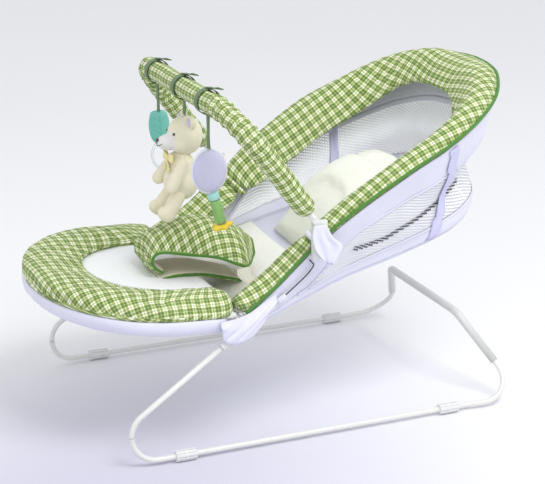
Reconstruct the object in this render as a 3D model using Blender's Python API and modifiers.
"""Baby bouncer: a sprung wire base that carries a padded foot rest, a reclining bucket back and a toy bar.

Metres, +Z up, the floor at z = 0. The seat faces the foot end at -Y and the head end is at +Y.
Lengths along Y are first given from the middle between the floor sleeves; the parent empty then
moves the whole object so that the origin is under the middle of its length.
"""
import math

import bmesh
import bpy
from mathutils import Matrix, Vector

# Clearances
GAP = 0.0003              # between pieces that touch
RUN = 0.0005              # beside a moving face

# Wire base
WIRE_R = 0.004
SLEEVE_R = 0.008
SLEEVE_LENGTH = 0.030
SLEEVE_Y = 0.205          # each side of the middle
SLEEVE_RIBS = 10
RAIL_HALF_WIDTH = 0.210
FRONT_BEND_Y = -0.281     # foremost point of the wire
FRONT_BEND_Z = 0.043
FRONT_BEND_RADIUS = 0.036
LEG_HALF_WIDTH = 0.205
REAR_BEND_RADIUS = 0.040
ARCH_R = 0.006
ARCH_TOP = (0.112, 0.268, 0.117)    # near top corner
ARCH_FOOT = (0.175, 0.301, 0.054)   # near mouth, where the rail plugs in
ARCH_CORNER_RADIUS = 0.020
PLUG_DEPTH = 0.020
RIVET_R = 0.0015
SPLIT_GAP = 0.0007        # the wire is parted at the front bend, where the spring flexes

# Knee joint
KNEE_Y = -0.117
KNEE_Z = 0.177
PIN_R = 0.003
PIN_CLEARANCE = 0.0003
BOSS_R = 0.011
BRACKET_X = (0.199, 0.211)
FOOT_LUG_X = (0.1925, 0.1985)
BACK_LUG_X = (0.185, 0.191)
SOCKET_R = 0.0058
SOCKET_LENGTH = 0.034
LUG_ARM_R = 0.0025
LUG_SPIGOT_R = 0.0045
PIN_HEAD = 0.0015
KNEE_SLEEVE_X = (0.2045, 0.2155)    # inner edge and outer face of the fabric over the joint
KNEE_SLEEVE_WALL = 0.002

# Seat frame tubes
FRAME_R = 0.007
FRAME_INSET = 0.012       # tube centre in from the piping
FRAME_DROP = 0.007        # tube centre below the piping

# Foot rest
FOOT_END_Y = -0.363
FOOT_HALF_WIDTH = 0.206
FOOT_START_Y = -0.125
FOOT_SIDE_END_Y = -0.200
FOOT_ROUNDNESS = 2.05
FOOT_SEAM_Z = 0.2035      # outer seam at the knee end
FOOT_RISE = 0.070         # climb of the foot rest towards its end
FOOT_INNER_HALF_WIDTH = 0.124
FOOT_INNER_END_Y = -0.276
FOOT_INNER_SIDE_END_Y = -0.150
FOOT_INNER_ROUNDNESS = 2.2
FOOT_CREST = 0.021
FOOT_INNER_LIFT = 0.016
SKIRT_DEPTH = 0.030
SKIRT_BULGE = 0.001
SLING_THICKNESS = 0.003
SLING_SAG = 0.018
SLING_DROP = 0.0088       # of its edges below the outer seam
SLING_EDGE = 0.024        # its edges in from the outer seam

# Back rest: piping outline as (y, half width, z), from the knee to the head
RIM_LINE = (
    (-0.110, 0.203, 0.202),
    (-0.060, 0.192, 0.232),
    (0.000, 0.191, 0.283),
    (0.060, 0.201, 0.330),
    (0.140, 0.209, 0.379),
    (0.200, 0.203, 0.406),
    (0.257, 0.184, 0.433),
    (0.303, 0.149, 0.456),
    (0.340, 0.086, 0.475),
    (0.352, 0.000, 0.481),
)
# Foot of the side wall as (y, half width, z), a row for each row above
WALL_FOOT_LINE = (
    (-0.090, 0.182, 0.172),
    (-0.052, 0.176, 0.184),
    (-0.006, 0.168, 0.198),
    (0.056, 0.161, 0.217),
    (0.122, 0.157, 0.232),
    (0.186, 0.155, 0.249),
    (0.240, 0.147, 0.266),
    (0.277, 0.120, 0.281),
    (0.296, 0.072, 0.290),
    (0.301, 0.000, 0.293),
)
RIM_STEPS = 3             # stations per row
RIM_CREST = 0.013
RIM_CREST_HEAD = 0.004
RIM_WIDTH = (0.046, 0.052, 0.056, 0.062, 0.064, 0.064, 0.064, 0.066, 0.068, 0.070)
RIM_INNER_DROP = (-0.004, 0.008, 0.022, 0.031, 0.033, 0.032, 0.030, 0.031, 0.033, 0.034)
PAD_THICKNESS = 0.011
PIPING_R = 0.0022
BAND_SHARE = 0.34         # of the wall's depth
WALL_THICKNESS = 0.002
FLOOR_THICKNESS = 0.003
FLOOR_SAG = 0.008
SEAM_SHARE = 0.003        # gap between the wall's bands
LOWER_BAND_SHARE = 0.86   # where the plain band round the wall's foot starts
WALL_STRAP_ROW = 5.2      # place round the rim, in rows of its line
WALL_STRAP_WIDTH = 0.016
SEAT_PANEL_END_Y = 0.030
SEAT_PANEL_INSET = 0.006
SEAT_PANEL_THICKNESS = 0.005
PILLOW_START_Y = 0.050
PILLOW_END_Y = 0.268
PILLOW_HALF_WIDTH = 0.125
PILLOW_HEIGHT = 0.100

# Belt, in side view along the middle as (y, z)
CROTCH_LINE = ((-0.050, 0.1878), (-0.085, 0.199), (-0.115, 0.207), (-0.150, 0.210), (-0.180, 0.206))
CROTCH_HALF_WIDTH = (0.034, 0.036, 0.038, 0.038, 0.036)
CROTCH_THICKNESS = 0.010
FLAP_LINE = ((-0.1725, 0.2168), (-0.186, 0.228), (-0.188, 0.246), (-0.175, 0.262), (-0.137, 0.272),
             (-0.097, 0.275), (-0.057, 0.262), (-0.022, 0.240))
FLAP_HALF_WIDTH = (0.036, 0.038, 0.040, 0.044, 0.058, 0.068, 0.072, 0.050)
FLAP_DROOP = (0.0, 0.0, 0.004, 0.012, 0.026, 0.036, 0.040, 0.020)
FLAP_THICKNESS = 0.011
WAIST_STRAP_LINE = ((0.078, -0.062, 0.222), (0.105, -0.070, 0.221), (0.135, -0.066, 0.214), (0.160, -0.058, 0.206))
WAIST_STRAP_WIDTH = 0.024

# Fabric over the knee joint: rows of (y, low z, high z)
KNEE_SLEEVE_ROWS = ((-0.147, 0.154, 0.1925), (-0.130, 0.155, 0.193), (-0.105, 0.160, 0.193), (-0.078, 0.172, 0.1925))

# Toy bar
BAR_PIVOT_Y = 0.003
BAR_PIVOT_Z = 0.310
BAR_HALF_WIDTH = 0.208
BAR_LEAN = math.radians(54)   # above level, towards the foot end
BAR_REACH = 0.210         # from the pivot to the top of the U
BAR_CORNER_RADIUS = 0.073
BAR_COVER_R = 0.016
BAR_CORE_R = 0.005
BAR_COVER_START = 0.033   # bare length at each end
BAR_LUG_X = (0.2055, 0.2095)
BAR_SOCKET_X = (0.1982, 0.2050)
BAR_LUG_R = 0.0075
BAR_LUG_REACH = 0.017     # height over the pivot up to which the bar's ends are flattened

BAR_FLAP_OUTLINE = ((0.001, 0.306), (0.013, 0.300), (0.036, 0.283), (0.017, 0.257), (0.010, 0.263))

# Toys: strap places along the bar, sizes, and how far the straps hang
LEAF_X = -0.118
BEAR_X = 0.0
RATTLE_X = 0.100
LOOP_WIDTH = 0.012
LOOP_THICKNESS = 0.0015
LEAF_STRAP = 0.043
BEAR_STRAP = 0.023
RATTLE_STRAP = 0.050
LEAF_SIZE = (0.032, 0.010, 0.052)
RING_RADIUS = 0.024
DISC_SIZE = (0.052, 0.018, 0.064)
LEAF_OUTLINE = ((-0.62, 1.0), (0.55, 1.0), (0.96, 0.55), (1.0, 0.05), (0.82, -0.5), (0.35, -0.9), (0.0, -1.0),
                (-0.45, -0.86), (-0.86, -0.45), (-1.0, 0.15), (-0.92, 0.65))
RING_TUBE_R = 0.0022
RING_SHIFT_Y = 0.012
BEAR_HEAD = (0.031, 0.029, 0.030)
BEAR_MUZZLE = (0.013, 0.018, 0.011)
BEAR_MUZZLE_PLACE = (0.0, -0.024, -0.008)
BEAR_EAR = (0.010, 0.006, 0.010)
BEAR_EAR_PLACE = (0.021, 0.004, 0.022)
BEAR_BODY = (0.028, 0.025, 0.038)
BEAR_BODY_SHIFT = -0.008
RATTLE_CAP = (0.0085, 0.012)
RATTLE_STEM = (0.0080, 0.036)
FLOWER_R = 0.014
FLOWER_THICKNESS = 0.008


# Helpers

def clear_scene():
    """Removes whatever objects the file opened with."""
    for obj in list(bpy.data.objects):
        bpy.data.objects.remove(obj, do_unlink=True)


def make_collection(name):
    """A collection linked to the scene."""
    collection = bpy.data.collections.new(name)
    bpy.context.scene.collection.children.link(collection)
    return collection


def make_material(name, colour, roughness=0.8, metallic=0.0):
    """A plain Principled material."""
    material = bpy.data.materials.new(name)
    material.use_nodes = True
    shader = material.node_tree.nodes["Principled BSDF"]
    shader.inputs["Base Color"].default_value = (*colour, 1.0)
    shader.inputs["Roughness"].default_value = roughness
    shader.inputs["Metallic"].default_value = metallic
    return material


clear_scene()
PARTS = make_collection("baby_bouncer")
CUTTERS = make_collection("cutters")
ROOT = bpy.data.objects.new("bouncer_origin", None)
ROOT.location = (0.0, -(FOOT_END_Y - SKIRT_BULGE + RIM_LINE[-1][0] + 2 * PIPING_R + 2 * GAP) / 2, 0.0)
PARTS.objects.link(ROOT)

WHITE_STEEL = make_material("white_steel", (0.86, 0.86, 0.84), 0.35)
WHITE_PLASTIC = make_material("white_plastic", (0.84, 0.85, 0.86), 0.4)
GINGHAM = make_material("gingham", (0.56, 0.66, 0.38))
GREEN_WEBBING = make_material("green_webbing", (0.20, 0.38, 0.16))
WHITE_FABRIC = make_material("white_fabric", (0.84, 0.85, 0.92))
MESH_FABRIC = make_material("mesh_fabric", (0.82, 0.84, 0.90))
CREAM_FABRIC = make_material("cream_fabric", (0.87, 0.85, 0.76))
TEAL_RUBBER = make_material("teal_rubber", (0.20, 0.66, 0.60), 0.45)
CLEAR_PLASTIC = make_material("clear_plastic", (0.85, 0.88, 0.90), 0.2)
LAVENDER = make_material("lavender_plush", (0.70, 0.70, 0.86))
CREAM_PLUSH = make_material("cream_plush", (0.86, 0.82, 0.66))
YELLOW_RIBBON = make_material("yellow_ribbon", (0.90, 0.80, 0.30))
AQUA_PLASTIC = make_material("aqua_plastic", (0.55, 0.80, 0.78), 0.4)
BRIGHT_GREEN = make_material("bright_green", (0.35, 0.72, 0.12), 0.5)


def add_object(name, mesh, material, collection=PARTS):
    """Links a mesh under the origin empty."""
    obj = bpy.data.objects.new(name, mesh)
    if material:
        mesh.materials.clear()
        mesh.materials.append(material)
    collection.objects.link(obj)
    obj.parent = ROOT
    return obj


def make_cutter(obj):
    """Hides an object that only cuts others."""
    obj.hide_render = True
    obj.display_type = "WIRE"
    return obj


def smooth_shade(obj, angle=40):
    """Smooth shading with sharp edges kept."""
    obj.data.shade_smooth()
    obj.data.set_sharp_from_angle(angle=math.radians(angle))
    return obj


def loft(name, rings, material, closed=False, collection=PARTS):
    """A solid through rings of points: capped at both ends, or closed on itself."""
    bm = bmesh.new()
    rows = [[bm.verts.new(point) for point in ring] for ring in rings]
    count = len(rows[0])
    pairs = list(zip(rows, rows[1:])) + ([(rows[-1], rows[0])] if closed else [])
    for first, second in pairs:
        for i in range(count):
            j = (i + 1) % count
            bm.faces.new((first[i], first[j], second[j], second[i]))
    if not closed:
        bm.faces.new(rows[0])
        bm.faces.new(rows[-1])
    bmesh.ops.recalc_face_normals(bm, faces=bm.faces)
    mesh = bpy.data.meshes.new(name)
    bm.to_mesh(mesh)
    bm.free()
    return smooth_shade(add_object(name, mesh, material, collection))


def tube(name, points, radius, material, sides=2):
    """A round rod or tube along points, with filled caps, turned into a mesh."""
    curve = bpy.data.curves.new(name, "CURVE")
    curve.dimensions = "3D"
    curve.bevel_depth = radius
    curve.bevel_resolution = sides
    curve.use_fill_caps = True
    spline = curve.splines.new("POLY")
    spline.points.add(len(points) - 1)
    for spot, point in zip(spline.points, points):
        spot.co = (*point, 1.0)
    guide = bpy.data.objects.new(name + "_path", curve)
    bpy.context.scene.collection.objects.link(guide)
    bpy.context.view_layer.update()
    mesh = bpy.data.meshes.new_from_object(guide.evaluated_get(bpy.context.evaluated_depsgraph_get()))
    bpy.data.objects.remove(guide, do_unlink=True)
    bm = bmesh.new()
    bm.from_mesh(mesh)
    bmesh.ops.remove_doubles(bm, verts=bm.verts, dist=0.00001)
    bmesh.ops.recalc_face_normals(bm, faces=bm.faces)
    bm.to_mesh(mesh)
    bm.free()
    return smooth_shade(add_object(name, mesh, material))


def cylinder(name, centre, axis, radius, length, material, sides=20, collection=PARTS):
    """A cylinder along an axis through its centre."""
    bm = bmesh.new()
    bmesh.ops.create_cone(bm, cap_ends=True, segments=sides, radius1=radius, radius2=radius, depth=length)
    turn = Vector((0, 0, 1)).rotation_difference(Vector(axis)).to_matrix().to_4x4()
    bmesh.ops.transform(bm, matrix=Matrix.Translation(centre) @ turn, verts=bm.verts)
    mesh = bpy.data.meshes.new(name)
    bm.to_mesh(mesh)
    bm.free()
    return smooth_shade(add_object(name, mesh, material, collection))


def box(name, low, high, material, collection=PARTS, bevel=0.0):
    """A block between two corners, with optional rounded edges."""
    bm = bmesh.new()
    bmesh.ops.create_cube(bm, size=1.0)
    low, high = Vector(low), Vector(high)
    size = high - low
    bmesh.ops.scale(bm, vec=size, verts=bm.verts)
    bmesh.ops.translate(bm, vec=(low + high) / 2, verts=bm.verts)
    mesh = bpy.data.meshes.new(name)
    bm.to_mesh(mesh)
    bm.free()
    obj = add_object(name, mesh, material, collection)
    if bevel:
        modifier = obj.modifiers.new("rounding", "BEVEL")
        modifier.width = bevel
        modifier.segments = 2
    return obj


def ball(name, centre, radii, material, lengthwise=16, rows=10, turn=None):
    """A stretched sphere."""
    bm = bmesh.new()
    bmesh.ops.create_uvsphere(bm, u_segments=lengthwise, v_segments=rows, radius=1.0)
    matrix = Matrix.Translation(centre) @ (turn or Matrix.Identity(4)) @ Matrix.Diagonal((*radii, 1.0))
    bmesh.ops.transform(bm, matrix=matrix, verts=bm.verts)
    mesh = bpy.data.meshes.new(name)
    bm.to_mesh(mesh)
    bm.free()
    return smooth_shade(add_object(name, mesh, material), 80)


def cut(obj, cutter, operation="DIFFERENCE"):
    """Adds an exact Boolean."""
    modifier = obj.modifiers.new(cutter.name, "BOOLEAN")
    modifier.object = cutter
    modifier.operation = operation
    modifier.solver = "EXACT"
    return obj


def mirrored(point):
    """The same point on the far side."""
    return Vector((-point[0], point[1], point[2]))


def spline_through(points, steps):
    """Catmull-Rom curve through points, with a number of steps to each span."""
    points = [Vector(p) for p in points]
    padded = [2 * points[0] - points[1]] + points + [2 * points[-1] - points[-2]]
    out = []
    for a, b, c, d in zip(padded, padded[1:], padded[2:], padded[3:]):
        for k in range(steps):
            t = k / steps
            out.append(0.5 * (2 * b + (c - a) * t + (2 * a - 5 * b + 4 * c - d) * t ** 2
                              + (3 * b - a - 3 * c + d) * t ** 3))
    return out + [points[-1]]


def rounded_path(points, radii, arc_steps=6):
    """Straight runs between points with an arc of the given radius at each inner corner."""
    points = [Vector(p) for p in points]
    out = [points[0]]
    for before, corner, after, radius in zip(points, points[1:], points[2:], radii):
        u, v = (before - corner).normalized(), (after - corner).normalized()
        half = u.angle(v) / 2
        reach = radius / math.tan(half)
        centre = corner + (u + v).normalized() * radius / math.sin(half)
        start, end = corner + u * reach - centre, corner + v * reach - centre
        sweep = start.angle(end)
        for k in range(arc_steps + 1):
            t = k / arc_steps
            spoke = (start * math.sin((1 - t) * sweep) + end * math.sin(t * sweep)) / math.sin(sweep)
            out.append(centre + spoke)
    return out + [points[-1]]


def path_frames(points):
    """For each point of a path: the point, the level direction outwards, and the direction square to both."""
    frames = []
    for i, point in enumerate(points):
        tangent = (points[min(i + 1, len(points) - 1)] - points[max(i - 1, 0)]).normalized()
        outward = tangent.cross(Vector((0, 0, 1))).normalized()
        frames.append((point, outward, outward.cross(tangent)))
    return frames


def lerp(a, b, t):
    """Straight mix of two values."""
    return a + (b - a) * t


def at_share(values, share):
    """Value of a list of evenly spaced samples at a share of its length."""
    place = min(max(share, 0.0), 1.0) * (len(values) - 1)
    i = min(int(place), len(values) - 2)
    return lerp(values[i], values[i + 1], place - i)


# Outlines shared by the pieces of the seat

def full_line(half):
    """A half outline from the near knee to the middle, and back to the far knee."""
    return half + [mirrored(p) for p in reversed(half[:-1])]


def rows_to_points(rows):
    """Rows of (y, half width, z) as points on the near side."""
    return [Vector((x, y, z)) for y, x, z in rows]


RIM_PATH = full_line(spline_through(rows_to_points(RIM_LINE), RIM_STEPS))
WALL_FOOT_PATH = full_line(spline_through(rows_to_points(WALL_FOOT_LINE), RIM_STEPS))
RIM_FRAMES = path_frames(RIM_PATH)


def foot_z(y):
    """Height of the foot rest's outer seam plane."""
    return FOOT_SEAM_Z + FOOT_RISE * (FOOT_START_Y - y)


def foot_outline(half_width, start_y, side_end_y, end_y, roundness, side_steps=3, end_steps=11):
    """The foot rest's outline on the far side: a straight side and a rounded end, up to the middle."""
    points = []
    for k in range(side_steps):
        y = lerp(start_y, side_end_y, k / side_steps)
        points.append(Vector((-half_width, y, foot_z(y))))
    for k in range(end_steps + 1):
        angle = math.pi / 2 * k / end_steps
        across = math.cos(angle) ** (2 / roundness)
        along = math.sin(angle) ** (2 / roundness)
        y = lerp(side_end_y, end_y, along)
        points.append(Vector((-half_width * across, y, foot_z(y))))
    return points


FOOT_PATH = full_line(foot_outline(FOOT_HALF_WIDTH, FOOT_START_Y, FOOT_SIDE_END_Y, FOOT_END_Y, FOOT_ROUNDNESS))
FOOT_INNER_PATH = full_line(foot_outline(FOOT_INNER_HALF_WIDTH, FOOT_START_Y, FOOT_INNER_SIDE_END_Y,
                                         FOOT_INNER_END_Y, FOOT_INNER_ROUNDNESS))
FOOT_FRAMES = path_frames(FOOT_PATH)


# Wire base

def front_bend(start, end, steps):
    """Near-side points of the front bend between two turns: 0 on the floor, 90 degrees at its foremost point."""
    centre_y = FRONT_BEND_Y + FRONT_BEND_RADIUS
    centre_z = SLEEVE_R + FRONT_BEND_RADIUS
    points = []
    for k in range(steps + 1):
        turn = lerp(start, end, k / max(steps, 1))
        half_width = lerp(RAIL_HALF_WIDTH, LEG_HALF_WIDTH, min(turn / (math.pi / 2), 1.0))
        points.append(Vector((half_width, centre_y - FRONT_BEND_RADIUS * math.sin(turn),
                              centre_z - FRONT_BEND_RADIUS * math.cos(turn))))
    return points


SPLIT_TURN = SPLIT_GAP / 2 / FRONT_BEND_RADIUS
SPLIT_LEAD = 0.02         # turn of the last short run, which squares the cut
BEND_TO_KNEE = (KNEE_Y - FRONT_BEND_Y - FRONT_BEND_RADIUS, KNEE_Z - SLEEVE_R - FRONT_BEND_RADIUS)
LEG_TURN = math.pi + math.asin(FRONT_BEND_RADIUS / math.hypot(*BEND_TO_KNEE)) - math.atan2(*reversed(BEND_TO_KNEE))
KNEE = Vector((0.0, KNEE_Y, KNEE_Z))
LEG_TANGENT_POINT = front_bend(LEG_TURN, LEG_TURN, 1)[0]
LEG_DIRECTION = (KNEE + Vector((LEG_HALF_WIDTH, 0, 0)) - LEG_TANGENT_POINT).normalized()
ARCH_AXIS = (Vector(ARCH_TOP) - Vector(ARCH_FOOT)).normalized()


def on_side(point, side):
    """A near-side point, or its mirror image for the far side."""
    return Vector((side * point[0], point[1], point[2]))


def make_rail(name, side):
    """The floor wire: from its plug in the rear arch, round the rear bend, along the floor and up to the split."""
    foot = Vector(ARCH_FOOT)
    floor_corner = foot - ARCH_AXIS * ((foot.z - SLEEVE_R) / ARCH_AXIS.z)
    rear = rounded_path(
        [foot + ARCH_AXIS * PLUG_DEPTH, floor_corner,
         (RAIL_HALF_WIDTH, SLEEVE_Y + SLEEVE_LENGTH, SLEEVE_R), (RAIL_HALF_WIDTH, 0.0, SLEEVE_R)],
        [REAR_BEND_RADIUS, REAR_BEND_RADIUS], 8)
    split = math.pi / 2 - SPLIT_TURN
    front = front_bend(0.0, split - SPLIT_LEAD, 7) + front_bend(split, split, 0)
    return tube(name, [on_side(p, side) for p in rear + front], WIRE_R, WHITE_STEEL, 2)


def make_arch():
    """The rear arch, bored at both mouths for the rails."""
    near_top, near_foot = Vector(ARCH_TOP), Vector(ARCH_FOOT)
    path = rounded_path([near_foot, near_top, mirrored(near_top), mirrored(near_foot)],
                        [ARCH_CORNER_RADIUS, ARCH_CORNER_RADIUS], 6)
    arch = tube("rear_arch", path, ARCH_R, WHITE_STEEL, 3)
    for side in (1, -1):
        depth = PLUG_DEPTH + 0.002
        axis = on_side(ARCH_AXIS, side)
        bore = cylinder(f"arch_bore_{side}", on_side(near_foot, side) + axis * (depth / 2 - 0.001), axis,
                        WIRE_R + GAP, depth + 0.002, None, 16, CUTTERS)
        cut(arch, make_cutter(bore))
    return arch


def make_floor_sleeve(name, side, y):
    """A ribbed plastic sleeve that grips the rail, with one rib flat on the floor."""
    rib_half_turn = math.radians(7)
    outer_r = SLEEVE_R / math.cos(rib_half_turn)
    outer, inner = [], []
    for rib in range(SLEEVE_RIBS):
        middle = 2 * math.pi * rib / SLEEVE_RIBS - math.pi / 2
        groove = middle + math.pi / SLEEVE_RIBS
        for angle, radius in ((middle - rib_half_turn, outer_r), (middle + rib_half_turn, outer_r),
                              (groove, SLEEVE_R - 0.0008)):
            outer.append((math.cos(angle) * radius, math.sin(angle) * radius))
            inner.append((math.cos(angle) * (WIRE_R + GAP), math.sin(angle) * (WIRE_R + GAP)))
    centre = Vector((side * RAIL_HALF_WIDTH, y, SLEEVE_R))
    half = SLEEVE_LENGTH / 2
    rings = [[centre + Vector((u, end, w)) for u, w in outline]
             for outline, end in ((outer, -half), (outer, half), (inner, half), (inner, -half))]
    return loft(name, rings, WHITE_PLASTIC, closed=True)


# Legs and knee joints

def make_leg(name, side):
    """The sprung wire from the split in the front bend to its socket at the knee."""
    split = math.pi / 2 + SPLIT_TURN
    arc = front_bend(split, split, 0) + front_bend(split + SPLIT_LEAD, LEG_TURN, 5)
    end = KNEE + Vector((LEG_HALF_WIDTH, 0, 0)) - LEG_DIRECTION * (BOSS_R + 0.003)
    return tube(name, [on_side(p, side) for p in arc + [end]], WIRE_R, WHITE_STEEL, 2)


def pin_hole(name, side):
    """Cutter for the hinge pin's hole."""
    hole = cylinder(name, KNEE + Vector((side * 0.198, 0, 0)), (1, 0, 0), PIN_R + PIN_CLEARANCE, 0.06, None, 16, CUTTERS)
    return make_cutter(hole)


def make_bracket(name, side):
    """The plastic hinge block: a boss round the pin and a socket for the leg wire."""
    low, high = BRACKET_X
    boss = cylinder(name, KNEE + Vector((side * (low + high) / 2, 0, 0)), (1, 0, 0), BOSS_R, high - low, WHITE_PLASTIC)
    direction = on_side(LEG_DIRECTION, side)
    start = KNEE + Vector((side * LEG_HALF_WIDTH, 0, 0))
    socket = cylinder(name + "_socket", start - direction * SOCKET_LENGTH / 2 * 1.1, direction, SOCKET_R,
                      SOCKET_LENGTH, None, 16, CUTTERS)
    cut(boss, make_cutter(socket), "UNION")
    bore_length = SOCKET_LENGTH + 0.02
    bore = cylinder(name + "_bore", start - direction * (BOSS_R + 0.002 + bore_length / 2), direction,
                    WIRE_R + GAP, bore_length, None, 16, CUTTERS)
    cut(boss, make_cutter(bore))
    return cut(boss, pin_hole(name + "_pin_hole", side))


def make_lug(name, side, x_range, tube_end, tube_direction):
    """A hinge eye with an arm that ends in a spigot inside the frame tube."""
    low, high = x_range
    middle = side * (low + high) / 2
    eye_centre = KNEE + Vector((middle, 0, 0))
    eye = cylinder(name, eye_centre, (1, 0, 0), BOSS_R, high - low, WHITE_PLASTIC)
    arm_end = tube_end - tube_direction * 0.002
    arm_axis = arm_end - eye_centre
    arm = cylinder(name + "_arm", (eye_centre + arm_end) / 2, arm_axis, LUG_ARM_R,
                   arm_axis.length, None, 8, CUTTERS)
    cut(eye, make_cutter(arm), "UNION")
    spigot = cylinder(name + "_spigot", tube_end + tube_direction * 0.004, tube_direction, LUG_SPIGOT_R,
                      0.016, None, 10, CUTTERS)
    cut(eye, make_cutter(spigot), "UNION")
    return cut(eye, pin_hole(name + "_hole", side))


def bore_ends(obj, name, ends):
    """Bores a frame tube at both ends for the lugs' spigots."""
    for k, (end, direction) in enumerate(ends):
        bore = cylinder(f"{name}_{k}", end + direction * 0.006, direction, LUG_SPIGOT_R + GAP, 0.016, None, 10, CUTTERS)
        cut(obj, make_cutter(bore))
    return obj


def make_pin(name, side):
    """A headed hinge pin through the bracket and both lugs."""
    inner, outer = BACK_LUG_X[0] - RUN, BRACKET_X[1] + RUN
    head = PIN_HEAD
    pin = cylinder(name, KNEE + Vector((side * (inner + outer) / 2, 0, 0)), (1, 0, 0), PIN_R,
                   outer - inner + head, WHITE_STEEL, 16)
    for k, x in enumerate((inner - head / 2, outer + head / 2)):
        cap = cylinder(f"{name}_head_{k}", KNEE + Vector((side * x, 0, 0)), (1, 0, 0), PIN_R + 0.002, head, None, 16, CUTTERS)
        cut(pin, make_cutter(cap), "UNION")
    return pin


# Padded bands

def inset_tube_path(frames, inset, drop):
    """The frame tube's centre line, in from the piping and below it."""
    return [point - outward * inset - upward * drop for point, outward, upward in frames]


def band_section(point, outward, upward, inner, inner_drop, crest):
    """Section of a padded band: a crowned top from the piping to its inner edge, and a channel for the tube."""
    channel_r = FRAME_R + 3 * GAP
    shoulder = FRAME_INSET + channel_r
    turn_point = point - outward * shoulder
    rest = Vector((inner.x - turn_point.x, inner.y - turn_point.y, 0.0))
    width = shoulder + rest.length

    def place(u, w):
        beyond = max(0.0, u - shoulder) / (width - shoulder)
        return point - outward * min(u, shoulder) + rest * beyond + upward * w

    top = ((0.0, 0.0), (0.08, 0.5), (0.22, 0.86), (0.42, 1.0), (0.60, 0.80), (0.78, 0.35), (0.92, 0.05), (1.0, -0.25))
    share = (0.0, 0.0, 0.0, 0.04, 0.20, 0.50, 0.80, 1.0)
    outline = [(width * f, crest * c - inner_drop * s) for (f, c), s in zip(top, share)]
    outline.append((width * 0.97, -inner_drop - crest * 0.25 - 0.004))
    outline.append((width * 0.84, -inner_drop * 0.72 - PAD_THICKNESS))
    outline.append((lerp(shoulder, width, 0.35), -inner_drop * 0.22 - PAD_THICKNESS * 0.7))
    outline.append((shoulder + 0.001, -FRAME_DROP - 0.001))
    for k in range(7):
        angle = math.pi * k / 6
        outline.append((FRAME_INSET + channel_r * math.cos(angle), -FRAME_DROP + channel_r * math.sin(angle)))
    outline.append((0.0015, -FRAME_DROP + 0.001))
    return [place(u, w) for u, w in outline]


def make_rim_pad():
    """The gingham rim of the back, from knee to knee round the head."""
    rings = []
    last = len(RIM_FRAMES) - 1
    for i, (point, outward, upward) in enumerate(RIM_FRAMES):
        share = 1 - abs(2 * i / last - 1)
        crest = lerp(RIM_CREST, RIM_CREST_HEAD, max(0.0, share - 0.6) / 0.4)
        inner = point - outward * at_share(RIM_WIDTH, share)
        rings.append(band_section(point, outward, upward, inner, at_share(RIM_INNER_DROP, share), crest))
    return loft("rim_pad", rings, GINGHAM)


def make_foot_ring():
    """The gingham ring of the foot rest, wide round the toes."""
    rings = []
    for (point, outward, upward), inner in zip(FOOT_FRAMES, FOOT_INNER_PATH):
        drop = point.z - inner.z - FOOT_INNER_LIFT
        rings.append(band_section(point, outward, upward, inner, drop, FOOT_CREST))
    return loft("foot_ring_pad", rings, GINGHAM)


def make_skirt():
    """The white skirt under the foot ring, turned in at its hem."""
    outline = ((0.0010, -0.0070), (-SKIRT_BULGE, -0.015), (0.0050, -0.0280), (0.024, -SKIRT_DEPTH - 0.001),
               (0.024, -SKIRT_DEPTH + 0.0015), (0.0068, -0.0255), (0.0015, -0.015), (0.0034, -0.0075))
    start = 1
    rings = [[point - outward * u + Vector((0, 0, w)) for u, w in outline]
             for point, outward, _ in FOOT_FRAMES[start:-start]]
    return loft("foot_skirt", rings, WHITE_FABRIC)


def make_sheet(name, rows, half_widths, sags, thickness, material, columns=6):
    """A thin sheet across the object: rows along it, each level at its edges and sagging between them."""
    rings = []
    for (y, z), half_width, sag in zip(rows, half_widths, sags):
        top = []
        for k in range(columns + 1):
            f = 2 * k / columns - 1
            top.append(Vector((f * half_width, y, z - sag * (1 - f * f))))
        rings.append(top + [p - Vector((0, 0, thickness)) for p in reversed(top)])
    return loft(name, rings, material)


def make_sling():
    """The white sling in the foot ring's opening, its edges under the pad and inside the tube."""
    rows, widths, sags = [], [], []
    for point, outward, _ in FOOT_FRAMES[1:len(FOOT_FRAMES) // 2 - 1]:
        inner = point - outward * SLING_EDGE
        rows.append((inner.y, inner.z - SLING_DROP))
        widths.append(-inner.x)
        sags.append(SLING_SAG * min(1.0, -inner.x / (FOOT_HALF_WIDTH * 0.75)))
    return make_sheet("foot_sling", rows, widths, sags, SLING_THICKNESS, WHITE_FABRIC)


def frame_ends(path):
    """Both ends of a tube's path, each with the direction into the tube."""
    return [(path[0], (path[1] - path[0]).normalized()), (path[-1], (path[-2] - path[-1]).normalized())]


def make_seat_frame(name, frames, lug_x):
    """A steel tube bent round a padded band, its plastic hinge lugs plugged into both ends."""
    path = inset_tube_path(frames, FRAME_INSET, FRAME_DROP)
    ends = frame_ends(path)
    frame = tube(name + "_frame", path, FRAME_R, WHITE_STEEL, 2)
    bore_ends(frame, name + "_frame_bore", ends)
    for end, direction in ends:
        side = 1 if end.x > 0 else -1
        make_lug(f"{name}_lug_{'left' if side > 0 else 'right'}", side, lug_x, end, direction)
    return frame


def make_knee_sleeve(name, side):
    """The white fabric sleeve over the outside of the knee joint, open below for the leg and on its inner side."""
    inner_x, outer_x = KNEE_SLEEVE_X
    rings = []
    for y, low, high in KNEE_SLEEVE_ROWS:
        outline = [(inner_x, high), (outer_x - 0.004, high), (outer_x, high - 0.005), (outer_x, low)]
        inset = [(min(x, outer_x - KNEE_SLEEVE_WALL), max(min(z, high - KNEE_SLEEVE_WALL), low))
                 for x, z in reversed(outline)]
        inset[1:3] = [(outer_x - KNEE_SLEEVE_WALL, high - 0.006), (outer_x - 0.0048, high - KNEE_SLEEVE_WALL)]
        rings.append([Vector((side * x, y, z)) for x, z in outline + inset])
    return loft(name, rings, WHITE_FABRIC)


# Back rest

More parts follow.
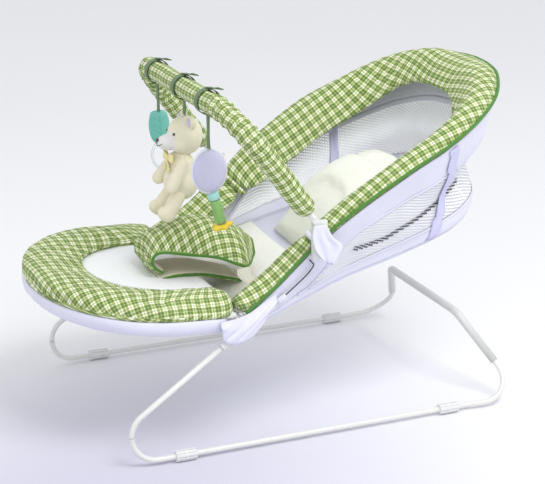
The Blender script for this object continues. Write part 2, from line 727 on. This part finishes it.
def make_piping():
    """The green cord sewn round the outer edge of the rim."""
    shift = PIPING_R + 2 * GAP
    points = [point + outward * shift - upward * 0.001 for point, outward, upward in RIM_FRAMES]
    return tube("rim_piping", points, PIPING_R, GREEN_WEBBING, 1)


def wall_point(i, share, out=0.0):
    """A point on the side wall's outer face: share 0 under the piping, 1 at the wall's foot."""
    point, outward, upward = RIM_FRAMES[i]
    top = point - outward * 0.0012 - upward * (FRAME_DROP + 0.0002)
    return top.lerp(WALL_FOOT_PATH[i], share) + outward * out


def make_wall(name, start, end, material):
    """A stretch of the bucket's side wall, all the way round from knee to knee."""
    rings = []
    for i, (_, outward, _) in enumerate(RIM_FRAMES):
        outer = [wall_point(i, start), wall_point(i, end)]
        rings.append(outer + [p - outward * WALL_THICKNESS for p in reversed(outer)])
    return loft(name, rings, material)


def make_wall_strap(name, side):
    """A lavender strap down the outside of the wall."""
    first = round(WALL_STRAP_ROW * RIM_STEPS)
    i = first if side > 0 else len(RIM_FRAMES) - 1 - first
    rings = []
    for k in range(7):
        share = lerp(0.03, 0.98, k / 6)
        along = (wall_point(i + 1, share) - wall_point(i - 1, share)).normalized()
        outward = RIM_FRAMES[i][1]
        middle = wall_point(i, share)
        rings.append([middle + along * (WALL_STRAP_WIDTH / 2 * a) + outward * b
                      for a, b in ((-1, 0.0009), (1, 0.0009), (1, 0.0023), (-1, 0.0023))])
    return loft(name, rings, LAVENDER)


def floor_rows(start_y, end_y):
    """Rows (y, z, half width) of the bucket's floor line between two places."""
    half = WALL_FOOT_PATH[:len(WALL_FOOT_PATH) // 2]
    return [(p.y, p.z, p.x) for p in half if start_y <= p.y <= end_y]


def make_bottom_panel():
    """The fabric floor of the bucket, sagging between the walls' feet."""
    rows = floor_rows(-1.0, 1.0)
    return make_sheet("bottom_panel", [(y, z - 0.0005) for y, z, _ in rows], [x for _, _, x in rows],
                      [floor_sag(x) for _, _, x in rows], FLOOR_THICKNESS, WHITE_FABRIC)


def floor_sag(half_width):
    """Sag of the floor where it is this wide."""
    return FLOOR_SAG * min(1.0, half_width / 0.15)


def floor_top(x, z, half_width):
    """Height of the floor's upper face at a place across a row."""
    return z - 0.0005 - floor_sag(half_width) * (1 - (x / half_width) ** 2)


def make_seat_panel():
    """The cream seat lining over the front of the floor."""
    rings = []
    for y, z, half_width in floor_rows(WALL_FOOT_LINE[0][0] + 0.002, SEAT_PANEL_END_Y):
        edge = half_width - SEAT_PANEL_INSET
        across = [lerp(-edge, edge, k / 8) for k in range(9)]
        bottom = [Vector((x, y, floor_top(x, z, half_width) + GAP * 2)) for x in across]
        top = [p + Vector((0, 0, SEAT_PANEL_THICKNESS)) for p in reversed(bottom)]
        rings.append(bottom + top)
    return loft("seat_panel", rings, CREAM_FABRIC)


def make_pillow():
    """The head cushion: crowned, drawn in at its sides, on the rear of the floor."""
    rings = []
    rows = floor_rows(PILLOW_START_Y, PILLOW_END_Y)
    for n, (y, z, half_width) in enumerate(rows):
        share = n / (len(rows) - 1)
        swell = math.sin(math.pi * lerp(0.12, 0.90, share)) ** 0.6
        edge = min(PILLOW_HALF_WIDTH, half_width - 0.010) * lerp(0.86, 1.0, swell)
        height = PILLOW_HEIGHT * swell
        across = [lerp(-edge, edge, k / 10) for k in range(11)]
        bottom = [Vector((x, y, floor_top(x, z, half_width) + 2 * GAP)) for x in across]
        top = []
        for x in reversed(across):
            f = abs(x) / edge
            crown = (1 - f ** 4) * 0.80 + 0.20 * (1 - f ** 2)
            top.append(Vector((x * 0.985, y, floor_top(x, z, half_width) + 0.006 + height * crown)))
        rings.append(bottom + top)
    return loft("pillow", rings, CREAM_FABRIC)


def make_crotch_strap():
    """The padded strip that runs from the seat out over the sling to the belt's fold."""
    rings = []
    for (y, z), half_width in zip(spline_yz(CROTCH_LINE, 3), spline_values(CROTCH_HALF_WIDTH, 3)):
        half = CROTCH_THICKNESS / 2
        outline = [(-1, 0), (-0.92, -0.8), (-0.5, -1), (0.5, -1), (0.92, -0.8), (1, 0),
                   (0.92, 0.8), (0.5, 1), (-0.5, 1), (-0.92, 0.8)]
        rings.append([Vector((a * half_width, y, z + b * half)) for a, b in outline])
    return loft("crotch_strap", rings, GINGHAM)


def spline_yz(points, steps):
    """A smooth side view line through (y, z) points."""
    return [(p.y, p.z) for p in spline_through([(0.0, y, z) for y, z in points], steps)]


def spline_values(values, steps):
    """Smoothly spaced values to go with spline_yz."""
    return [p.x for p in spline_through([(v, 0.0, 0.0) for v in values], steps)]


def make_waist_flap():
    """The padded belt: it rises from the fold at its foot end and arches back over the lap, its edges hanging."""
    rings = []
    line = spline_yz(FLAP_LINE, 2)
    halves = spline_values(FLAP_HALF_WIDTH, 2)
    droops = spline_values(FLAP_DROOP, 2)
    last = len(line) - 1
    for i, ((y, z), half_width, droop) in enumerate(zip(line, halves, droops)):
        ahead, behind = line[min(i + 1, last)], line[max(i - 1, 0)]
        along = Vector((0.0, ahead[0] - behind[0], ahead[1] - behind[1])).normalized()
        normal = Vector((1, 0, 0)).cross(along)
        half = FLAP_THICKNESS / 2
        upper, lower = [], []
        for k in range(9):
            f = 2 * k / 8 - 1
            middle = Vector((f * half_width, y, z - droop * abs(f) ** 2.4))
            thick = half * (1 - 0.75 * f ** 6)
            upper.append(middle + normal * thick)
            lower.append(middle - normal * thick)
        rings.append(upper + lower[::-1])
    return loft("waist_flap", rings, GINGHAM)


def make_waist_strap(name, side):
    """A webbing strap from the belt's lobe to the seat's side."""
    rings = []
    points = spline_through([(side * x, y, z) for x, y, z in WAIST_STRAP_LINE], 3)
    for i, point in enumerate(points):
        along = (points[min(i + 1, len(points) - 1)] - points[max(i - 1, 0)]).normalized()
        across = Vector((0, 1, 0))
        normal = along.cross(across).normalized()
        rings.append([point + across * (a * WAIST_STRAP_WIDTH / 2) + normal * (b * 0.001)
                      for a, b in ((-1, -1), (1, -1), (1, 1), (-1, 1))])
    return loft(name, rings, CREAM_FABRIC)


# Toy bar

BAR_PIVOT = Vector((0.0, BAR_PIVOT_Y, BAR_PIVOT_Z))
BAR_UP = Vector((0.0, -math.cos(BAR_LEAN), math.sin(BAR_LEAN)))
BAR_NORMAL = Vector((1, 0, 0)).cross(BAR_UP)
BAR_TOP = BAR_PIVOT + BAR_UP * BAR_REACH


def bar_path(start, bar_half=BAR_HALF_WIDTH):
    """The bar's centre line, from a height up the near leg over to the same height on the far leg."""
    near = Vector((bar_half, 0, 0))
    far = mirrored(near)
    return rounded_path([BAR_PIVOT + near + BAR_UP * start, BAR_TOP + near, BAR_TOP + far,
                         BAR_PIVOT + far + BAR_UP * start], [BAR_CORNER_RADIUS] * 2, 6)


def make_bar_socket(name, side):
    """The clip on the seat frame that the bar pivots on, with its stud."""
    low, high = BAR_SOCKET_X
    xs = sorted((side * low, side * high))
    body = box(name, (xs[0], BAR_PIVOT_Y - 0.011, BAR_PIVOT_Z - 0.045),
               (xs[1], BAR_PIVOT_Y + 0.011, BAR_PIVOT_Z + 0.010), WHITE_PLASTIC)
    stud_end = BAR_LUG_X[1] + RUN + PIN_HEAD * 0.5
    stud = cylinder(name + "_stud", BAR_PIVOT + Vector((side * (high - 0.002 + stud_end) / 2, 0, 0)), (1, 0, 0),
                    PIN_R, stud_end - high + 0.002, None, 16, CUTTERS)
    cap = cylinder(name + "_cap", BAR_PIVOT + Vector((side * stud_end, 0, 0)), (1, 0, 0),
                   PIN_R + 0.002, PIN_HEAD / 2, None, 16, CUTTERS)
    cut(body, make_cutter(stud), "UNION")
    return cut(body, make_cutter(cap), "UNION")


def make_bar_core():
    """The bent bar inside the cover, flattened to an eye at each end."""
    core = tube("bar_core", bar_path(0.004, (BAR_LUG_X[0] + BAR_LUG_X[1]) / 2), BAR_CORE_R, WHITE_PLASTIC, 1)
    middle = (BAR_LUG_X[0] + BAR_LUG_X[1]) / 2
    for side in (1, -1):
        place = Vector((side * middle, 0, 0))
        eye = cylinder(f"bar_eye_{side}", BAR_PIVOT + place, (1, 0, 0), BAR_LUG_R,
                       BAR_LUG_X[1] - BAR_LUG_X[0], None, 20, CUTTERS)
        trim_low = box(f"bar_trim_in_{side}", (side * BAR_LUG_X[0] - 0.02 * (side > 0), -0.03, 0.28),
                       (side * BAR_LUG_X[0] + 0.02 * (side < 0), 0.03, BAR_PIVOT_Z + BAR_LUG_REACH), None, CUTTERS)
        trim_high = box(f"bar_trim_out_{side}", (side * BAR_LUG_X[1] - 0.02 * (side < 0), -0.03, 0.28),
                        (side * BAR_LUG_X[1] + 0.02 * (side > 0), 0.03, BAR_PIVOT_Z + BAR_LUG_REACH), None, CUTTERS)
        hole = cylinder(f"bar_hole_{side}", BAR_PIVOT + place, (1, 0, 0), PIN_R + PIN_CLEARANCE, 0.03, None, 16, CUTTERS)
        cut(core, make_cutter(trim_low))
        cut(core, make_cutter(trim_high))
        cut(core, make_cutter(eye), "UNION")
        cut(core, make_cutter(hole))
    return core


def make_bar_cover():
    """The gingham cover, a padded tube over the bar."""
    path = bar_path(BAR_COVER_START)
    outer, inner = [], []
    for i, point in enumerate(path):
        along = (path[min(i + 1, len(path) - 1)] - path[max(i - 1, 0)]).normalized()
        side_way = along.cross(BAR_NORMAL)
        for ring, radius in ((outer, BAR_COVER_R), (inner, BAR_CORE_R + 4 * GAP)):
            ring.append([point + (BAR_NORMAL * math.cos(2 * math.pi * k / 12)
                                  + side_way * math.sin(2 * math.pi * k / 12)) * radius for k in range(12)])
    return loft("bar_cover", outer + inner[::-1], GINGHAM, closed=True)


def make_bar_flap(name, side):
    """The white fabric tab at the foot of the bar, with the return that holds it to the clip."""
    outer_x = BAR_LUG_X[1] + RUN + PIN_HEAD + 0.0006
    outline = BAR_FLAP_OUTLINE
    plate = loft(name, [[Vector((side * x, y, z)) for y, z in outline] for x in (outer_x, outer_x + 0.0014)], WHITE_FABRIC)
    xs = sorted((side * (BAR_SOCKET_X[1] + GAP), side * (outer_x + 0.0007)))
    tab = box(name + "_return", (xs[0], BAR_PIVOT_Y + 0.0015, BAR_PIVOT_Z - 0.033),
              (xs[1], BAR_PIVOT_Y + 0.0095, BAR_PIVOT_Z - 0.013), None, CUTTERS)
    return cut(plate, make_cutter(tab), "UNION")


# Toys

def make_loop(name, x, strap_length):
    """A webbing loop round the bar's cover, with the strap that hangs from it."""
    inner_r = BAR_COVER_R + 0.0007
    outer_r = inner_r + LOOP_THICKNESS
    sides = 24
    rings = []
    for across, radius in ((-0.5, outer_r), (0.5, outer_r), (0.5, inner_r), (-0.5, inner_r)):
        rings.append([BAR_TOP + Vector((x + across * LOOP_WIDTH, radius * math.cos(2 * math.pi * k / sides),
                                        radius * math.sin(2 * math.pi * k / sides))) for k in range(sides)])
    loop = loft(name, rings, GREEN_WEBBING, closed=True)
    top = BAR_TOP.z - outer_r + LOOP_THICKNESS / 2
    strap = box(name + "_strap", (x - LOOP_WIDTH / 2 + 0.0002, BAR_TOP.y - LOOP_THICKNESS / 2, top - strap_length),
                (x + LOOP_WIDTH / 2 - 0.0002, BAR_TOP.y + LOOP_THICKNESS / 2, top), None, CUTTERS)
    return cut(loop, make_cutter(strap), "UNION")


def strap_end(strap_length):
    """Where a loop's strap ends."""
    return BAR_TOP + Vector((0, 0, -BAR_COVER_R - 0.0007 - LOOP_THICKNESS / 2 - strap_length))


def flat_shape(name, centre, outline, depth, material, rim=0.75):
    """A rounded flat piece facing the side: an outline in y and z, thick at its middle and thin at its rim."""
    rings = []
    for share, grow in ((-1.0, rim), (-0.72, 0.96), (0.0, 1.0), (0.72, 0.96), (1.0, rim)):
        rings.append([centre + Vector((share * depth / 2, y * grow, z * grow)) for y, z in outline])
    return loft(name, rings, material)


def make_leaf():
    """The rubber leaf and the clear ring through its tip."""
    length = LEAF_SIZE[2]
    half = LEAF_SIZE[0] / 2
    centre = strap_end(LEAF_STRAP) + Vector((LEAF_X, 0.0, -length / 2 - GAP))
    outline = [(half * a, length / 2 * b) for a, b in LEAF_OUTLINE]
    leaf = flat_shape("leaf_teether", centre, outline, LEAF_SIZE[1], TEAL_RUBBER)
    ring_centre = centre + Vector((0, RING_SHIFT_Y, -length / 2 - RING_RADIUS + 0.008))
    ring_points = [ring_centre + Vector((0, RING_RADIUS * math.cos(a), RING_RADIUS * math.sin(a)))
                   for a in [2 * math.pi * k / 20 for k in range(20)]]
    for name, radius, collection in (("leaf_ring", RING_TUBE_R, PARTS), ("leaf_ring_hole", RING_TUBE_R + 2 * GAP, CUTTERS)):
        rings = []
        for point in ring_points:
            away = (point - ring_centre).normalized()
            turns = [2 * math.pi * k / 6 for k in range(6)]
            rings.append([point + away * (radius * math.cos(a)) + Vector((radius * math.sin(a), 0, 0)) for a in turns])
        torus = loft(name, rings, CLEAR_PLASTIC if collection is PARTS else None, closed=True, collection=collection)
        if collection is CUTTERS:
            cut(leaf, make_cutter(torus))
    return leaf


def limb(name, start, end, start_r, end_r, material, sides=12):
    """A stuffed limb that swells and tapers between two rounded ends."""
    start, end = Vector(start), Vector(end)
    axis = (end - start).normalized()
    across = axis.cross(Vector((1, 0, 0))).normalized()
    other = axis.cross(across)
    rings = []
    for share, swell in ((0.0, 0.45), (0.06, 0.75), (0.2, 0.98), (0.45, 1.04), (0.75, 1.06), (0.92, 0.88), (1.0, 0.45)):
        radius = lerp(start_r, end_r, share) * swell
        rings.append([start.lerp(end, share) + (across * math.cos(2 * math.pi * k / sides)
                                                + other * math.sin(2 * math.pi * k / sides)) * radius
                      for k in range(sides)])
    return loft(name, rings, material)


def clear_of(obj, larger, grow):
    """Cuts a piece by a grown copy of the larger piece that it is sewn to."""
    cutter = larger.copy()
    cutter.data = larger.data.copy()
    cutter.name = f"{obj.name}_{larger.name}_seat"
    cutter.modifiers.clear()
    for collection in list(cutter.users_collection):
        collection.objects.unlink(cutter)
    CUTTERS.objects.link(cutter)
    bm = bmesh.new()
    bm.from_mesh(cutter.data)
    bm.normal_update()
    for vert in bm.verts:
        vert.co += vert.normal * grow
    bm.to_mesh(cutter.data)
    bm.free()
    return cut(obj, make_cutter(cutter))


def make_bear():
    """The stuffed bear: head with ears and muzzle, body, two arms, two legs and a ribbon bow."""
    neck = strap_end(BEAR_STRAP)
    head_centre = neck + Vector((BEAR_X, 0.0, -BEAR_HEAD[2] - GAP))
    head = ball("bear_head", head_centre, BEAR_HEAD, CREAM_PLUSH, 16, 12)
    muzzle = ball("bear_muzzle_form", head_centre + Vector(BEAR_MUZZLE_PLACE), BEAR_MUZZLE, None, 12, 8)
    ears = [ball(f"bear_ear_form_{side}", head_centre + Vector((side * BEAR_EAR_PLACE[0], *BEAR_EAR_PLACE[1:])),
                 BEAR_EAR, None, 12, 8) for side in (1, -1)]
    for extra in [muzzle] + ears:
        PARTS.objects.unlink(extra)
        CUTTERS.objects.link(extra)
        cut(head, make_cutter(extra), "UNION")
    body_centre = head_centre + Vector((0, BEAR_BODY_SHIFT, -BEAR_HEAD[2] - BEAR_BODY[2] + 0.010))
    body = ball("bear_body", body_centre, BEAR_BODY, CREAM_PLUSH, 16, 10)
    clear_of(body, head, 0.0006)
    clear_of(body, muzzle, 0.0006)
    for side, word in ((1, "left"), (-1, "right")):
        shoulder = body_centre + Vector((side * 0.021, -0.004, 0.020))
        hand = body_centre + Vector((side * 0.030, -0.024, -0.010))
        arm = limb(f"bear_arm_{word}", shoulder, hand, 0.0095, 0.0095, CREAM_PLUSH)
        clear_of(arm, body, 0.0005)
        hip = body_centre + Vector((side * 0.014, -0.006, -0.030))
        foot = body_centre + Vector((side * 0.020, -0.026, -0.064))
        leg = limb(f"bear_leg_{word}", hip, foot, 0.0115, 0.0125, CREAM_PLUSH)
        clear_of(leg, body, 0.0005)
    bow = ball("bear_bow", head_centre + Vector((0, -0.024, -BEAR_HEAD[2] + 0.0005)), (0.015, 0.004, 0.006),
               YELLOW_RIBBON, 12, 8)
    clear_of(bow, head, 0.0006)
    clear_of(bow, muzzle, 0.0006)
    clear_of(bow, body, 0.0006)
    return head


def make_rattle():
    """The rattle: a flat lavender disc, its cap, a clear tube round a green stem, and a flower."""
    height = DISC_SIZE[2]
    half = DISC_SIZE[0] / 2
    centre = strap_end(RATTLE_STRAP) + Vector((RATTLE_X, 0, -height / 2 - GAP))
    outline = [(half * math.cos(2 * math.pi * k / 20), height / 2 * math.sin(2 * math.pi * k / 20)) for k in range(20)]
    flat_shape("rattle_disc", centre, outline, DISC_SIZE[1], LAVENDER, 0.82)
    cap_top = centre + Vector((0, 0.004, -height / 2 + 0.0015))
    stem_way = Vector((0, 0.26, -1.0)).normalized()
    cap = cylinder("rattle_cap", cap_top + stem_way * (RATTLE_CAP[1] / 2 + 0.0008), stem_way, RATTLE_CAP[0],
                   RATTLE_CAP[1], AQUA_PLASTIC, 16)
    clear_of(cap, bpy.data.objects["rattle_disc"], 0.0004)
    stem_top = cap_top + stem_way * (RATTLE_CAP[1] + 0.0008 + GAP)
    cylinder("rattle_stem", stem_top + stem_way * (RATTLE_STEM[1] / 2), stem_way, RATTLE_STEM[0], RATTLE_STEM[1],
             BRIGHT_GREEN, 16)
    flower_centre = stem_top + stem_way * (RATTLE_STEM[1] + GAP + FLOWER_THICKNESS / 2)
    turn = Vector((0, 0, 1)).rotation_difference(stem_way).to_matrix()
    rings = []
    for share in (-0.5, 0.5):
        rings.append([flower_centre + turn @ Vector((FLOWER_R * (1 + 0.18 * math.cos(5 * a)) * math.cos(a),
                                                     FLOWER_R * (1 + 0.18 * math.cos(5 * a)) * math.sin(a),
                                                     share * FLOWER_THICKNESS))
                      for a in [2 * math.pi * k / 30 for k in range(30)]])
    loft("rattle_flower", rings, YELLOW_RIBBON)


# Assembly

for word, side in (("left", 1), ("right", -1)):
    make_rail(f"floor_rail_{word}", side)
    for end, y in (("front", -SLEEVE_Y), ("rear", SLEEVE_Y)):
        make_floor_sleeve(f"floor_sleeve_{end}_{word}", side, y)
    make_leg(f"leg_wire_{word}", side)
    make_bracket(f"knee_bracket_{word}", side)
    make_pin(f"knee_pin_{word}", side)
    make_knee_sleeve(f"knee_sleeve_{word}", side)
    make_wall_strap(f"wall_strap_{word}", side)
    make_waist_strap(f"waist_strap_{word}", side)
    make_bar_socket(f"bar_socket_{word}", side)
    make_bar_flap(f"bar_flap_{word}", side)
make_arch()
make_seat_frame("foot", FOOT_FRAMES, FOOT_LUG_X)
make_foot_ring()
make_skirt()
make_sling()
make_seat_frame("back", RIM_FRAMES, BACK_LUG_X)
make_rim_pad()
make_piping()
make_wall("side_band", 0.0, BAND_SHARE, WHITE_FABRIC)
make_wall("mesh_wall", BAND_SHARE + SEAM_SHARE, LOWER_BAND_SHARE, MESH_FABRIC)
make_wall("lower_band", LOWER_BAND_SHARE + SEAM_SHARE, 1.0, WHITE_FABRIC)
make_bottom_panel()
make_seat_panel()
make_pillow()
make_crotch_strap()
make_waist_flap()
make_bar_core()
make_bar_cover()
make_loop("leaf_loop", LEAF_X, LEAF_STRAP)
make_loop("bear_loop", BEAR_X, BEAR_STRAP)
make_loop("rattle_loop", RATTLE_X, RATTLE_STRAP)
make_leaf()
make_bear()
make_rattle()
